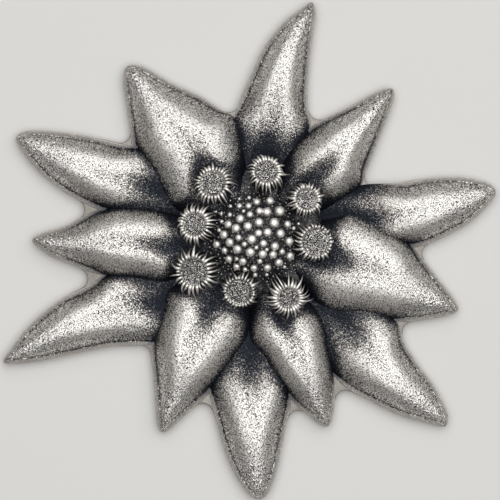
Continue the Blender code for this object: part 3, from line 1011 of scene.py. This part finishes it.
def speck_tree():
    """Scatters small drops over a dome, each upright and of its own size."""
    tree, start, end = new_tree("specks", ("Drop", "Object"), ("Spacing", "Float"),
                                ("Smallest", "Float"), ("Largest", "Float"), ("Seed", "Int"))
    given = start.outputs
    scatter = tree.nodes.new("GeometryNodeDistributePointsOnFaces")
    scatter.distribute_method = "POISSON"
    scatter.inputs["Density Max"].default_value = SPECKS_PER_SQUARE_METRE
    put(tree, given["Geometry"], scatter.inputs["Mesh"])
    put(tree, given["Spacing"], scatter.inputs["Distance Min"])
    put(tree, given["Seed"], scatter.inputs["Seed"])
    size = picked(tree, given["Smallest"], given["Largest"], given["Seed"])
    finish_tree(tree, set_on(tree, scatter.outputs["Points"], given["Drop"], size), end)
    return tree


def make_specks():
    """The tiny bumps of the ground between the beads."""
    profile = [mound_point(share, SPECK_GROUND) for share in np.linspace(1.15, 0.02, 12)]
    points, faces = turned(profile, 40)
    dome = mesh_piece("specks", points, faces[:-2])
    return apply_tree(dome, speck_tree(), drop=DROP, **SPECK_SIZES)


def make_beads():
    points, leans = [], []
    for x, y, r in BEADS:
        points.append((x, y, BEAD_TOP - BEAD_DROP * (x * x + y * y) / MOUND_RADIUS ** 2 - r))
        out = Vector((x * BEAD_SPREAD, y * BEAD_SPREAD, 1))
        leans.append(tuple(out.to_track_quat("Z", "Y").to_euler()))
    beads = mesh_piece("beads", points, [], radius=[r for x, y, r in BEADS], lean=leans)
    return apply_tree(beads, bead_tree(), drop=DROP, size=BEAD_SIZE)


DROP = make_drop(14, 20)
fasten(make_beads())
bpy.data.objects.remove(DROP)
DROP = make_drop(5, 8)
fasten(make_specks())
bpy.data.objects.remove(DROP)


# The floor, the light and the camera
# A pale surface under the flower, one broad soft light over it near the camera, and the camera
# straight above, as in the photograph.
FLOOR_HALF = 0.6
FLOOR_BELOW = 0.00005
FLOOR_COLOUR = (0.78, 0.77, 0.75, 1)
FLOOR_ROUGHNESS = 0.8
LIGHT_PLACE = (0.05, 0.09, 0.42)
LIGHT_SIZE = 0.75
LIGHT_POWER = 2.6
STUDIO_COLOUR = (1.0, 0.98, 0.96, 1)
STUDIO_STRENGTH = 0.2

# The camera's lens, and in millimetres the middle and the width of what it sees
LENS = 250
VIEW_MIDDLE = (-0.4, -1.2, 1.0)
VIEW_WIDTH = 50.0


def make_floor():
    mesh = bpy.data.meshes.new("floor")
    corners = [(-1, -1, 0), (1, -1, 0), (1, 1, 0), (-1, 1, 0)]
    mesh.from_pydata([(x * FLOOR_HALF, y * FLOOR_HALF, z) for x, y, z in corners], [],
                     [(0, 1, 2, 3)])
    floor = bpy.data.objects.new("floor", mesh)
    floor.location.z = -FLOOR_BELOW
    bpy.context.scene.collection.objects.link(floor)
    material = bpy.data.materials.new("pale_floor")
    material.use_nodes = True
    shader = material.node_tree.nodes["Principled BSDF"]
    shader.inputs["Base Color"].default_value = FLOOR_COLOUR
    shader.inputs["Roughness"].default_value = FLOOR_ROUGHNESS
    mesh.materials.append(material)


def make_light():
    light = bpy.data.lights.new("overhead", "AREA")
    light.size = LIGHT_SIZE
    light.energy = LIGHT_POWER
    ob = bpy.data.objects.new("overhead", light)
    ob.location = LIGHT_PLACE
    ob.rotation_euler = (Vector(LIGHT_PLACE) * -1).to_track_quat("-Z", "Y").to_euler()
    bpy.context.scene.collection.objects.link(ob)


def make_studio():
    world = bpy.data.worlds.new("studio")
    bpy.context.scene.world = world
    world.use_nodes = True
    background = world.node_tree.nodes["Background"]
    background.inputs["Color"].default_value = STUDIO_COLOUR
    background.inputs["Strength"].default_value = STUDIO_STRENGTH
    bpy.context.scene.view_settings.view_transform = "Standard"


def make_camera():
    camera = bpy.data.cameras.new("camera")
    camera.lens = LENS
    ob = bpy.data.objects.new("camera", camera)
    x, y, z = VIEW_MIDDLE
    away = VIEW_WIDTH / 2 / math.tan(camera.angle / 2)
    ob.location = (x * MM, y * MM, (away + z) * MM)
    bpy.context.scene.collection.objects.link(ob)
    bpy.context.scene.camera = ob


make_floor()
make_light()
make_studio()
make_camera()
